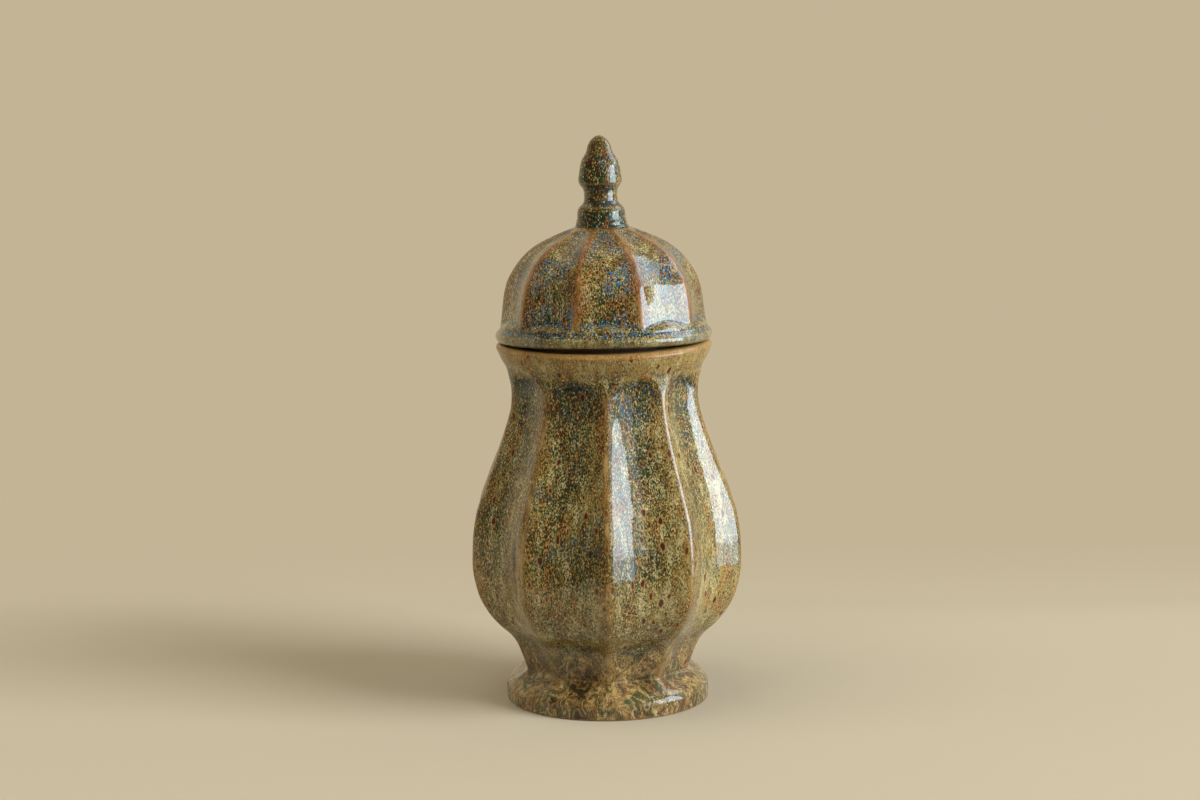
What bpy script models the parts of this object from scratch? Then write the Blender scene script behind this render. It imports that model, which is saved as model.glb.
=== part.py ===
# Lidded stoneware jar: a fluted jar on a round foot, with a domed lid and a turned finial.
# Metres, +Z up. The origin is the centre of the foot's underside, and the front is towards -Y.

import bpy
import bmesh
from math import cos, pi, radians, sin, sqrt

# Flutes, shared by the foot, the jar and the lid
flute_count = 10
flute_section_shares = (0.0, 0.05, 0.27, 0.5, 0.73, 0.95)  # stations across one flute, ridge to ridge
ridge_round_share = 0.07  # soft part of a ridge, as a share of half a flute
lid_turn = radians(21.0)  # the lid was set down with its ridges this far round from the jar's

# Jar, outside, from the foot up
waist_height = 0.0225
waist_radius = 0.0566
bowl_rise = 0.0755  # from the waist to the belly's widest ring
belly_radius = 0.0941
shoulder_rise = 0.1160  # from the belly to the neck
neck_radius = 0.0648
lip_rise = 0.0297  # from the neck to the rim
rim_radius = 0.0722
rim_round = 0.0034
belly_height = waist_height + bowl_rise
neck_height = belly_height + shoulder_rise
rim_height = neck_height + lip_rise
rim_dip = 0.0012  # the fired rim sags this much at the front and the back
lean = radians(0.6)  # the jar settled this far to -X between its belly and its rim

# Jar, wall and flutes
jar_wall = 0.0070
jar_floor = 0.0080
lip_width = 0.0122  # across the rim's flat, from outside to the mouth
mouth_radius = rim_radius - lip_width
mouth_round = 0.0020
mouth_spare = 0.0045  # the mouth stays straight this far below the lid's flange
waist_flute_share = 0.060
belly_flute_share = 0.105
neck_flute_share = 0.078
arch_drop = 0.0155  # from the rim down to the crown of each flute's arch
arch_rise = 0.0140
arch_soft = 0.0070

# Foot ring
foot_radius = 0.0688
foot_band = 0.0095
foot_edge = 0.0016
foot_rim_width = 0.0148
foot_wall = 0.0076

# Lid
lid_gap = 0.0003  # the lid rests this far above the rim, at the two sides
lid_arch = 0.0022  # the fired lid's edge lifts this much at the front and the back
roll_radius = 0.0725
roll_height = 0.0090
roll_round = 0.0040
dome_radius = 0.0695
dome_height = 0.0762
lid_wall = 0.0060
lid_shelf_height = 0.0060
lid_flute_share = 0.074
lid_edge_flute_share = 0.050
lid_crown_flute_share = 0.035
lid_flute_soft = 0.0080
lid_flute_rise = 0.0030

# Flange under the lid
flange_clearance = 0.0018
flange_wall = 0.0048
flange_depth = 0.0085
flange_round = 0.0012
flange_radius = mouth_radius - flange_clearance
flange_bore = flange_radius - flange_wall

# Finial
finial_height = 0.0597
finial_bulb_radius = 0.0146
finial_neck_radius = 0.0111
finial_collar_radius = 0.0172
finial_lean = radians(0.8)
finial_segments = 28

# Fit between pieces that were joined wet, and the distance under which two points are one
joint_gap = 0.0003
merge_distance = 0.00001

# Rings along each stretch of the jar and the lid
bowl_rings = 11
shoulder_rings = 11
neck_rings = 7
inner_neck_rings = 2
inner_shoulder_rings = 6
inner_bowl_rings = 5
foot_rings = 6
dome_rings = 15
inner_dome_rings = 7

# Outlines: (height share, radius share) between the two named points of each stretch
waist_to_belly_shares = (
    (0.0, 0.0), (0.139, 0.10), (0.258, 0.203), (0.32, 0.29), (0.43, 0.525),
    (0.563, 0.737), (0.735, 0.905), (1.0, 1.0))
belly_to_neck_shares = (
    (0.0, 0.0), (0.121, 0.014), (0.276, 0.099), (0.448, 0.338), (0.62, 0.618),
    (0.776, 0.836), (0.922, 0.986), (1.0, 1.0))
neck_to_rim_shares = ((0.0, 0.0), (0.47, 0.13), (0.74, 0.60), (1.0, 1.0))
foot_shoulder_shares = ((0.0, 0.0), (0.20, 0.08), (0.43, 0.28), (0.66, 0.58), (0.88, 0.87), (1.0, 1.0))
dome_shares = (
    (0.0, 1.0), (0.079, 0.979), (0.198, 0.962), (0.332, 0.939), (0.466, 0.895), (0.60, 0.801),
    (0.719, 0.681), (0.823, 0.518), (0.912, 0.291), (0.972, 0.099), (1.0, 0.0))
finial_shares = (
    (0.0, "collar", 1.0), (0.045, "collar", 0.985), (0.085, "collar", 0.945), (0.155, "collar", 0.925),
    (0.205, "collar", 0.86), (0.245, "neck", 1.10), (0.285, "neck", 1.01), (0.345, "neck", 1.0),
    (0.405, "neck", 1.05), (0.44, "bulb", 0.90), (0.475, "bulb", 0.985), (0.51, "bulb", 1.0),
    (0.58, "bulb", 0.96), (0.66, "bulb", 0.905), (0.735, "bulb", 0.81), (0.79, "bulb", 0.67),
    (0.83, "bulb", 0.59), (0.87, "bulb", 0.55), (0.93, "bulb", 0.43), (0.97, "bulb", 0.27),
    (0.992, "bulb", 0.12))


def clear_scene():
    for thing in list(bpy.data.objects):
        bpy.data.objects.remove(thing, do_unlink=True)


def make_material(name, colour, roughness):
    material = bpy.data.materials.new(name)
    material.use_nodes = True
    shader = material.node_tree.nodes["Principled BSDF"]
    shader.inputs["Base Color"].default_value = (*colour, 1.0)
    shader.inputs["Roughness"].default_value = roughness
    shader.inputs["Metallic"].default_value = 0.0
    return material


def smooth_step(value):
    value = min(1.0, max(0.0, value))
    return value * value * (3.0 - 2.0 * value)


def smooth_curve(points, place):
    """Read a smooth curve through the points that never overshoots between two of them."""
    places = [point[0] for point in points]
    values = [point[1] for point in points]
    place = min(places[-1], max(places[0], place))
    spans = [b - a for a, b in zip(places, places[1:])]
    slopes = [(b - a) / span for a, b, span in zip(values, values[1:], spans)]
    tangents = [slopes[0]]
    for before, after, left, right in zip(slopes, slopes[1:], spans, spans[1:]):
        if before * after <= 0.0:
            tangents.append(0.0)
            continue
        weight_a = 2.0 * right + left
        weight_b = right + 2.0 * left
        tangents.append((weight_a + weight_b) / (weight_a / before + weight_b / after))
    tangents.append(slopes[-1])
    index = 0
    while index < len(spans) - 1 and place > places[index + 1]:
        index += 1
    span = spans[index]
    t = (place - places[index]) / span
    start = (2.0 * t ** 3 - 3.0 * t ** 2 + 1.0) * values[index]
    end = (3.0 * t ** 2 - 2.0 * t ** 3) * values[index + 1]
    leave = (t ** 3 - 2.0 * t ** 2 + t) * span * tangents[index]
    arrive = (t ** 3 - t ** 2) * span * tangents[index + 1]
    return start + end + leave + arrive


def stretch(low, high, shares):
    """Scale an outline's shares between two (height, radius) points."""
    return [
        (low[0] + (high[0] - low[0]) * up, low[1] + (high[1] - low[1]) * out)
        for up, out in shares]


def ring_angles(turn):
    step = 2.0 * pi / flute_count
    return [turn + step * (flute + share) for flute in range(flute_count) for share in flute_section_shares]


def ridge_distance(angle, turn):
    """0 on a ridge, 1 in the middle of a flute."""
    share = ((angle - turn) / (2.0 * pi / flute_count)) % 1.0
    return 1.0 - abs(2.0 * share - 1.0)


def flute_hollow(angle, turn):
    """Section of a flute: 0 on the softened ridge, falling as a parabola to 1 in the middle."""
    distance = ridge_distance(angle, turn)
    soft = sqrt(distance ** 2 + ridge_round_share ** 2) - ridge_round_share
    soft /= sqrt(1.0 + ridge_round_share ** 2) - ridge_round_share
    return 1.0 - (1.0 - soft) ** 2


def saddle(angle):
    """1 at the front and the back, 0 at the two sides."""
    return cos(angle) ** 2


def polar(radius, angle, height):
    return (radius * sin(angle), -radius * cos(angle), height)


def loft(name, rings, material, closed=False):
    """Skin each ring to the next. The ends are capped, or joined to each other when closed."""
    mesh_data = bmesh.new()
    loops = [[mesh_data.verts.new(point) for point in ring] for ring in rings]
    pairs = list(zip(loops, loops[1:]))
    if closed:
        pairs.append((loops[-1], loops[0]))
    else:
        mesh_data.faces.new(loops[0])
        mesh_data.faces.new(loops[-1])
    for lower, upper in pairs:
        for a, b, c, d in zip(lower, lower[1:] + lower[:1], upper[1:] + upper[:1], upper):
            mesh_data.faces.new((a, b, c, d))
    return finish_piece(name, mesh_data, material)


def finish_piece(name, mesh_data, material):
    bmesh.ops.triangulate(mesh_data, faces=mesh_data.faces)
    bmesh.ops.recalc_face_normals(mesh_data, faces=mesh_data.faces)
    mesh = bpy.data.meshes.new(name)
    mesh_data.to_mesh(mesh)
    mesh_data.free()
    mesh.shade_smooth()
    mesh.set_sharp_from_angle(angle=radians(38.0))
    mesh.materials.append(material)
    piece = bpy.data.objects.new(name, mesh)
    bpy.context.scene.collection.objects.link(piece)
    return piece


def steps_between(low, high, count):
    return [low + (high - low) * step / count for step in range(count + 1)]


# Shape of the jar

def jar_outline():
    waist = (waist_height, waist_radius)
    belly = (belly_height, belly_radius)
    neck = (neck_height, neck_radius)
    rim = (rim_height - rim_round, rim_radius)
    outline = stretch(waist, belly, waist_to_belly_shares)
    outline += stretch(belly, neck, belly_to_neck_shares)[1:]
    outline += stretch(neck, rim, neck_to_rim_shares)[1:]
    return outline


def flute_depth(height, angle):
    """Depth of the jar's flutes, which end in arches under the rim."""
    shares = [
        (waist_height, waist_flute_share), (belly_height, belly_flute_share),
        (neck_height, neck_flute_share)]
    middle = ridge_distance(angle, 0.0)
    arch = rim_height - arch_drop - arch_rise * (1.0 - middle) ** 2
    fade = smooth_step((arch - height) / arch_soft)
    radius = smooth_curve(jar_outline(), height)
    return smooth_curve(shares, height) * radius * flute_hollow(angle, 0.0) * fade


def settle(point):
    """Bend the jar above its belly, as it settled in firing, and sag its rim."""
    x, y, z = point
    reach = rim_height - belly_height
    rise = max(0.0, z - belly_height)
    tilt = lean * rise / reach
    drift = lean * rise ** 2 / (2.0 * reach)
    spread = sqrt(x * x + y * y)
    front = 0.0 if spread == 0.0 else (y / spread) ** 2
    sag = rim_dip * front * smooth_step((z - neck_height) / (rim_height - neck_height))
    return (x - drift, y, z + x * sin(tilt) - sag)


def jar_ring(radius, height, wall, angles):
    return [settle(polar(radius - wall - flute_depth(height, angle), angle, height)) for angle in angles]


def round_ring(radius, height, angles):
    return [settle(polar(radius, angle, height)) for angle in angles]


def rounded_edge(radius, height, fillet, degrees, side=1.0):
    """Points on a fillet: 0 degrees faces sideways and 90 faces up. The side is -1 in a bore."""
    for turn in degrees:
        yield radius - side * fillet * (1.0 - cos(radians(turn))), height - fillet * (1.0 - sin(radians(turn)))


def make_jar_body(material):
    angles = ring_angles(0.0)
    outline = jar_outline()
    base = waist_height + joint_gap
    heights = [base] + steps_between(waist_height, belly_height, bowl_rings)[1:]
    heights += steps_between(belly_height, neck_height, shoulder_rings)[1:]
    heights += steps_between(neck_height, rim_height - rim_round, neck_rings)[1:]
    rings = [jar_ring(smooth_curve(outline, height), height, 0.0, angles) for height in heights]
    for radius, height in rounded_edge(rim_radius, rim_height, rim_round, (30.0, 60.0, 90.0)):
        rings.append(round_ring(radius, height, angles))
    for radius, height in rounded_edge(mouth_radius, rim_height, mouth_round, (90.0, 45.0, 0.0), -1.0):
        rings.append(round_ring(radius, height, angles))
    mouth_foot = rim_height - flange_depth - mouth_spare
    rings.append(round_ring(mouth_radius, mouth_foot, angles))
    floor = base + jar_floor
    inner_neck = steps_between(mouth_foot - arch_soft, neck_height, inner_neck_rings)
    inner_shoulder = steps_between(neck_height, belly_height, inner_shoulder_rings)[1:]
    inner_bowl = steps_between(belly_height, floor + jar_wall, inner_bowl_rings)[1:]
    for height in inner_neck + inner_shoulder + inner_bowl:
        rings.append(jar_ring(smooth_curve(outline, height), height, jar_wall, angles))
    corner = smooth_curve(outline, floor) - jar_wall * sqrt(2.0)
    rings.append(jar_ring(corner, floor + jar_wall * (1.0 - sqrt(0.5)), 0.0, angles))
    rings.append(round_ring(smooth_curve(outline, floor) - 3.0 * jar_wall, floor, angles))
    return loft("jar_body", rings, material)


def make_foot_ring(material):
    angles = ring_angles(0.0)
    shoulder = stretch((foot_band, foot_radius), (waist_height, waist_radius), foot_shoulder_shares)
    edge = rounded_edge(foot_radius, 2.0 * foot_edge, foot_edge, (-90.0, -45.0, 0.0))
    rings = [round_ring(radius, height, angles) for radius, height in edge]
    for height in steps_between(foot_band, waist_height, foot_rings):
        radius = smooth_curve(shoulder, height)
        fade = smooth_step((height - foot_band) / (waist_height - foot_band))
        depth = waist_flute_share * radius * fade
        rings.append([polar(radius - depth * flute_hollow(angle, 0.0), angle, height) for angle in angles])
    rings.append(round_ring(waist_radius - foot_wall, waist_height, angles))
    rings.append(round_ring(foot_radius - foot_rim_width, 0.0, angles))
    return loft("foot_ring", rings, material, closed=True)


# Shape of the lid, measured up from the plane of the rim

def lid_edge(angle):
    """Height of the lid's edge over the rim: it touches at the sides and lifts front and back."""
    return lid_gap + lid_arch * saddle(angle)


def dome_outline():
    spread = dome_radius - finial_collar_radius
    rise = dome_height - roll_height
    return [(roll_height + rise * up, finial_collar_radius + spread * out) for up, out in dome_shares]


def dome_depth(height, angle):
    shares = [
        (roll_height, lid_edge_flute_share), ((roll_height + dome_height) / 2.0, lid_flute_share),
        (dome_height, lid_crown_flute_share)]
    middle = ridge_distance(angle, lid_turn)
    start = roll_height + lid_flute_rise * middle
    fade = smooth_step((height - start) / lid_flute_soft)
    hollow = flute_hollow(angle, lid_turn) * fade
    return smooth_curve(shares, height) * smooth_curve(dome_outline(), height) * hollow


def lid_ring(radius, height, wall, angles, fluted=True):
    """One ring of the lid. The arch of its edge fades out up the dome."""
    ring = []
    for angle in angles:
        depth = dome_depth(height, angle) if fluted else 0.0
        settle_share = 1.0 - smooth_step(height / dome_height)
        ring.append(polar(radius - wall - depth, angle, height + lid_edge(angle) * settle_share))
    return ring


def make_lid_dome(material):
    angles = ring_angles(lid_turn)
    outline = dome_outline()
    heights = steps_between(roll_height, dome_height, dome_rings)
    rings = [lid_ring(smooth_curve(outline, height), height, 0.0, angles) for height in reversed(heights)]
    for radius, height in rounded_edge(roll_radius, 2.0 * roll_round, roll_round, (50.0, 10.0, -35.0, -90.0)):
        rings.append(lid_ring(radius, height, 0.0, angles, False))
    rings.append(lid_ring(flange_bore, 0.0, 0.0, angles, False))
    rings.append(lid_ring(flange_bore, lid_shelf_height, 0.0, angles, False))
    ceiling = dome_height - lid_wall
    for height in steps_between(roll_height + lid_shelf_height, ceiling - lid_wall, inner_dome_rings):
        rings.append(lid_ring(smooth_curve(outline, height), height, lid_wall, angles))
    top_radius = smooth_curve(outline, ceiling) - 2.0 * lid_wall
    rings.append(lid_ring(top_radius, ceiling, 0.0, angles, False))
    return loft("lid_dome", rings, material)


def make_lid_flange(material):
    angles = ring_angles(lid_turn)
    rings = []
    for radius in (flange_bore, flange_radius):
        rings.append([polar(radius, angle, lid_edge(angle) - joint_gap) for angle in angles])
    for radius, height in (
            (flange_radius, flange_round - flange_depth), (flange_radius - flange_round, -flange_depth),
            (flange_bore + flange_round, -flange_depth), (flange_bore, flange_round - flange_depth)):
        rings.append([polar(radius, angle, height) for angle in angles])
    return loft("lid_flange", rings, material, closed=True)


def make_finial(material):
    """Turn the finial's outline round its own axis."""
    sizes = {"collar": finial_collar_radius, "neck": finial_neck_radius, "bulb": finial_bulb_radius}
    outline = [(0.0, 0.0, 0.0)]
    outline += [(sizes[part] * out, 0.0, finial_height * up) for up, part, out in finial_shares]
    outline.append((0.0, 0.0, finial_height))
    mesh_data = bmesh.new()
    verts = [mesh_data.verts.new(point) for point in outline]
    edges = [mesh_data.edges.new(pair) for pair in zip(verts, verts[1:])]
    bmesh.ops.spin(
        mesh_data, geom=verts + edges, cent=(0.0, 0.0, 0.0), axis=(0.0, 0.0, 1.0),
        angle=2.0 * pi, steps=finial_segments, use_merge=True)
    bmesh.ops.remove_doubles(mesh_data, verts=mesh_data.verts, dist=merge_distance)
    return finish_piece("finial", mesh_data, material)


def rim_centre():
    return (-lean * (rim_height - belly_height) / 2.0, 0.0, rim_height)


def main():
    clear_scene()
    glazes = {
        "jar_body": make_material("speckled_glaze_jar", (0.135, 0.112, 0.052), 0.16),
        "foot_ring": make_material("pooled_glaze_foot", (0.130, 0.098, 0.058), 0.16),
        "lid_dome": make_material("speckled_glaze_lid", (0.120, 0.112, 0.060), 0.16),
        "lid_flange": make_material("bare_stoneware_flange", (0.360, 0.270, 0.170), 0.85),
        "finial": make_material("speckled_glaze_finial", (0.115, 0.095, 0.045), 0.16)}
    make_jar_body(glazes["jar_body"])
    make_foot_ring(glazes["foot_ring"])
    lid_axis = bpy.data.objects.new("lid_axis", None)
    bpy.context.scene.collection.objects.link(lid_axis)
    lid_axis.location = rim_centre()
    lid_axis.rotation_euler = (0.0, -lean, 0.0)
    for piece in (make_lid_dome(glazes["lid_dome"]), make_lid_flange(glazes["lid_flange"])):
        piece.parent = lid_axis
    finial = make_finial(glazes["finial"])
    finial.parent = lid_axis
    finial.location = (0.0, 0.0, dome_height + joint_gap + finial_collar_radius * sin(finial_lean))
    finial.rotation_euler = (0.0, -finial_lean, 0.0)
    bpy.context.view_layer.update()


main()
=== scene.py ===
# A fluted stoneware jar and its domed lid in a speckled reactive glaze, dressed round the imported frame.
# Metres, +Z up. The foot's underside is at z = 0 and the front faces -Y. Azimuth 0 is the front, 90 is +X.

import bpy
import numpy as np
from mathutils import Matrix, Vector


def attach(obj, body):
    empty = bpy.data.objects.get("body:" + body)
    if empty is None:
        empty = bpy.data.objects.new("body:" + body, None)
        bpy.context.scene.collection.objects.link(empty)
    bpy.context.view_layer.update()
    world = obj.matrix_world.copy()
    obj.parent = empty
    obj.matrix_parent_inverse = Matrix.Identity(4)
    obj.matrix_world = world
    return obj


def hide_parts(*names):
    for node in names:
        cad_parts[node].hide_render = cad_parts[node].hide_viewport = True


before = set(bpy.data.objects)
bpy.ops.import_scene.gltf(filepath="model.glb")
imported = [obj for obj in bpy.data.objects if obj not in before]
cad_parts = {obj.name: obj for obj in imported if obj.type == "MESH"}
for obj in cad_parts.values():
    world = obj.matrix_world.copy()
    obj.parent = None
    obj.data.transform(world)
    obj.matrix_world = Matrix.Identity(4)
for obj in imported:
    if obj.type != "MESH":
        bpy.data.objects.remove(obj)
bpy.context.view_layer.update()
print("frame loaded:", sorted(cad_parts))

degree = np.pi / 180.0
millimetre = 0.001
nothing = 1e-9  # a shorter length counts as none
facesDown, facesOut, facesUp = -90.0, 0.0, 90.0  # where a round edge starts or ends its turn, in degrees


# Curves and steps that the shapes share

def smoothStep(value):
    # 0 below 0 and 1 above 1, with 3t^2 - 2t^3 between
    t = np.clip(value, 0.0, 1.0)
    return t * t * (3.0 - 2.0 * t)


def smoothCurve(points, places):
    # monotone cubic through (place, value) points: its slope at a point is the weighted harmonic mean
    # of the slopes on both sides, and 0 at a turning point, so it never overshoots
    x, y = np.array(points, float).T
    span = np.diff(x)
    slope = np.diff(y) / span
    left, right = 2.0 * span[1:] + span[:-1], span[1:] + 2.0 * span[:-1]
    turning = slope[:-1] * slope[1:] <= 0.0
    before, after = (np.where(turning, 1.0, side) for side in (slope[:-1], slope[1:]))
    middle = np.where(turning, 0.0, (left + right) / (left / before + right / after))
    tangent = np.concatenate([slope[:1], middle, slope[-1:]])
    places = np.clip(places, x[0], x[-1])
    i = np.clip(np.searchsorted(x, places) - 1, 0, len(span) - 1)
    t = (places - x[i]) / span[i]
    ends = (2 * t ** 3 - 3 * t ** 2 + 1) * y[i] + (3 * t ** 2 - 2 * t ** 3) * y[i + 1]
    bends = (t ** 3 - 2 * t ** 2 + t) * tangent[i] + (t ** 3 - t ** 2) * tangent[i + 1]
    return ends + bends * span[i]


def stretch(low, high, shares):
    # points at shares of the way between two (height, radius) points
    return [(low[0] + (high[0] - low[0]) * up, low[1] + (high[1] - low[1]) * out) for up, out in shares]


def line(start, end, steps):
    # straight run between two (radius, height) points
    t = np.linspace(0.0, 1.0, steps)
    return start[0] + (end[0] - start[0]) * t, start[1] + (end[1] - start[1]) * t


def fillet(radius, height, size, fromTurn, toTurn, steps, side=1.0):
    # round edge: r - s (1 - cos turn), h - s (1 - sin turn); side is -1 in a bore
    turn = np.linspace(fromTurn, toTurn, steps) * degree
    return radius - side * size * (1.0 - np.cos(turn)), height - size * (1.0 - np.sin(turn))


def joinPaths(*paths):
    # one path from several (radius, height) runs, each of which starts where the last one ends
    radius = np.concatenate([path[0] if i == 0 else path[0][1:] for i, path in enumerate(paths)])
    height = np.concatenate([path[1] if i == 0 else path[1][1:] for i, path in enumerate(paths)])
    return radius[:, None], height[:, None]


def polar(radius, angle, height):
    # x = r sin a, y = -r cos a
    radius, angle, height = np.broadcast_arrays(radius, angle, height)
    return np.stack([radius * np.sin(angle), -radius * np.cos(angle), height], axis=-1)


# Flutes, shared by the jar and the lid

flutes = {
    "count": 10,
    "steps": 30,  # mesh steps across one flute
    "crowding": 0.6,  # how far they crowd towards the ridges
    "ridgeRound": 0.13,  # soft part of a ridge, as a share of half a flute
}


def fluteAngles(turn):
    # one row: turn + 2 pi (u - c sin(2 pi n u) / (2 pi n)), for n flutes and crowding c
    n = flutes["count"]
    u = np.arange(n * flutes["steps"]) / (n * flutes["steps"])
    angle = turn + 2.0 * np.pi * (u - flutes["crowding"] * np.sin(2.0 * np.pi * n * u) / (2.0 * np.pi * n))
    return angle[None, :]


def ridgeDistance(angle, turn):
    # 0 on a ridge, 1 in the middle of a flute
    share = ((angle - turn) / (2.0 * np.pi / flutes["count"])) % 1.0
    return 1.0 - np.abs(2.0 * share - 1.0)


def fluteHollow(angle, turn):
    # section of a flute: a parabola 1 - (1 - d)^2, whose d a hyperbola rounds off at the ridge
    d, r = ridgeDistance(angle, turn), flutes["ridgeRound"]
    d = (np.sqrt(d * d + r * r) - r) / (np.sqrt(1.0 + r * r) - r)
    return 1.0 - (1.0 - d) ** 2


# Skins: grids of rings, and the meshes made from them

hand = {
    "depth": 0.16 * millimetre,  # unevenness of pressed clay under thick glaze
    "waves": (62 * millimetre, 37 * millimetre, 23 * millimetre),
    "shares": (0.45, 0.33, 0.22),
    "crossing": 0.7,  # how fast each wave swings across its way, beside along it
    "calmRadius": 10 * millimetre,  # the pull fades out within it
    "seed": 7,
}
skin = {
    "leastSquare": 1e-9,  # square metres, below which a mesh step no longer sharpens a bend
    "ridge": (8.0 * millimetre, 0.4),  # a mask is smoothStep(curvature * length - start)
    "lip": (5.0 * millimetre, 0.4),
    "pool": (25.0 * millimetre, 0.3),
    "crestReach": 7, "crestShare": 6.0,  # columns that a ridge's mask spreads over, and what counts as full
}


def handMade(rings):
    # pulls each point towards the axis by depth (1 + w) / 2, where w is a sum of crossed sine waves
    ways = np.random.default_rng(hand["seed"]).normal(size=(len(hand["waves"]), 2, 3))
    ways = ways / np.linalg.norm(ways, axis=2, keepdims=True)
    wave = 0.0
    for (along, across), length, share in zip(ways, hand["waves"], hand["shares"]):
        turn = 2.0 * np.pi / length
        wave = wave + share * np.sin(rings @ along * turn) * np.cos(rings @ across * turn * hand["crossing"])
    radius = np.linalg.norm(rings[..., :2], axis=-1, keepdims=True)
    pull = hand["depth"] * (1.0 + wave[..., None]) * 0.5 * smoothStep(radius / hand["calmRadius"])
    outwards = np.concatenate([rings[..., :2] / np.maximum(radius, nothing), np.zeros_like(radius)], axis=-1)
    return rings - pull * outwards


def unit(vectors):
    # each vector over its length, and a zero vector left as it is
    length = np.linalg.norm(vectors, axis=-1, keepdims=True)
    return vectors / np.where(length > 0.0, length, 1.0)


def stepsAlong(rings, closed):
    # centred difference from ring to ring, one-sided at open ends
    if closed:
        return np.roll(rings, -1, axis=0) - np.roll(rings, 1, axis=0)
    return np.concatenate([rings[1:2] - rings[:1], rings[2:] - rings[:-2], rings[-1:] - rings[-2:-1]])


def stepsAround(rings):
    # centred difference round each ring
    return np.roll(rings, -1, axis=1) - np.roll(rings, 1, axis=1)


def ringNormals(rings, closed=False):
    # cross product of the step round the ring and the step along the profile; a pole takes its
    # neighbours' mean
    normal = unit(np.cross(stepsAround(rings), stepsAlong(rings, closed)))
    for row, near in ((0, 1), (-1, -2)):
        if np.ptp(rings[row], axis=0).max() < nothing:
            normal[row] = unit(normal[near].mean(axis=0))
    return normal


def bending(step, turn):
    # curvature per metre: how far the normal turns over a step, above 0 on edges and below 0 in hollows,
    # as the mean (before + 2 here + after) / 4 round the ring
    bend = (step * turn).sum(axis=-1) / np.maximum((step * step).sum(axis=-1), skin["leastSquare"])
    return (np.roll(bend, 1, axis=1) + 2.0 * bend + np.roll(bend, -1, axis=1)) / 4.0


def bendMasks(rings, normals, closed):
    # where the skin is a ridge, the crest round a ridge, a lip or a hollow, from 0 to 1
    across = bending(stepsAround(rings), stepsAround(normals))
    upright = bending(stepsAlong(rings, closed), stepsAlong(normals, closed))
    bends = {"ridge": across, "lip": upright, "pool": -(across + upright)}
    masks = {key: smoothStep(bend * skin[key][0] - skin[key][1]) for key, bend in bends.items()}
    reach = range(-skin["crestReach"], skin["crestReach"] + 1)
    spread = sum(np.roll(masks["ridge"], shift, axis=1) for shift in reach)
    masks["crest"] = smoothStep(spread / skin["crestShare"])
    return masks


def ringFaces(wide, columns, closed):
    # quads from ring to ring, and a fan where a ring is a single point instead of wide
    start = np.cumsum([0] + [columns if w else 1 for w in wide])
    column, following = np.arange(columns), np.roll(np.arange(columns), -1)
    last = len(wide) - 1
    faces = []
    for low, high in [(i, i + 1) for i in range(last)] + ([(last, 0)] if closed else []):
        a, b = start[low], start[high]
        if wide[low] and wide[high]:
            corners = (a + column, a + following, b + following, b + column)
        elif wide[low]:
            corners = (a + column, a + following, np.full(columns, b))
        else:
            corners = (np.full(columns, a), b + following, b + column)
        faces += np.stack(corners, axis=1).tolist()
    return faces


def addSkin(name, rings, material, body, nodes, closed=False, seams=(), bare=None):
    # a mesh over rings of points; seams gives (row, normals) pairs for a ring that two pieces share, and
    # bare masks rows that the glaze leaves out
    rings = handMade(rings)
    normals = ringNormals(rings, closed)
    for row, shared in seams:
        normals[row] = shared
    wide = np.ptp(rings, axis=1).max(axis=1) > nothing
    rows, columns = rings.shape[:2]
    masks = bendMasks(rings, normals, closed)
    masks["bare"] = np.zeros((rows, columns)) if bare is None else np.broadcast_to(bare, (rows, columns))
    faces = ringFaces(wide, columns, closed)

    def packed(grid):
        # one value for a ring that is a single point
        return np.concatenate([row if w else row[:1] for row, w in zip(grid, wide)])

    mesh = bpy.data.meshes.new(name)
    mesh.from_pydata(packed(rings), [], faces)
    for key, mask in masks.items():
        mesh.attributes.new(key, "FLOAT", "POINT").data.foreach_set("value", packed(mask).astype(np.float32))
    mesh.shade_smooth()
    mesh.normals_split_custom_set_from_vertices(packed(normals))
    mesh.materials.append(material)
    piece = bpy.data.objects.new(name, mesh)
    bpy.context.scene.collection.objects.link(piece)
    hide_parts(*nodes)
    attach(piece, body)
    print("piece:", name, len(faces), "faces")


# The jar and its foot

jar = {
    "waistHeight": 0.0225, "waistRadius": 0.0566,
    "bellyHeight": 0.0980, "bellyRadius": 0.0941,
    "neckHeight": 0.2140, "neckRadius": 0.0648,
    "rimHeight": 0.2437, "rimRadius": 0.0722, "rimRound": 0.0034, "rimDip": 0.0012,
    "lean": 0.6 * degree,
    "wall": 0.0070, "floorHeight": 0.0308, "innerRound": 0.0120,
    "mouthRadius": 0.0600, "mouthRound": 0.0020, "mouthFoot": 0.2307,
    "archDrop": 0.0140, "archRise": 0.0140, "archSoft": 0.0100,
    "seam": 0.0003,  # how far the hidden faces of two pieces that share a ring stand apart
    "seamInset": 0.0024,  # how far in from the shared ring they lie
    # mesh steps along the profile; those of the wall run from waist to belly, to neck and to rim
    "steps": {"underside": 7, "wall": (80, 84, 36), "rimEdge": 10, "rimTop": 4, "mouthEdge": 6, "mouth": 5,
              "inside": 40, "floor": 9},
}
foot = {
    "radius": 0.0688, "band": 0.0095, "edge": 0.0016,
    "seatInner": 0.0540, "boreRadius": 0.0490,
    "bareBelow": 0.0007,  # the glaze is wiped off the seat
    "steps": {"recess": 10, "bevel": 2, "seat": 6, "edge": 7, "flare": 26},
}

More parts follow.
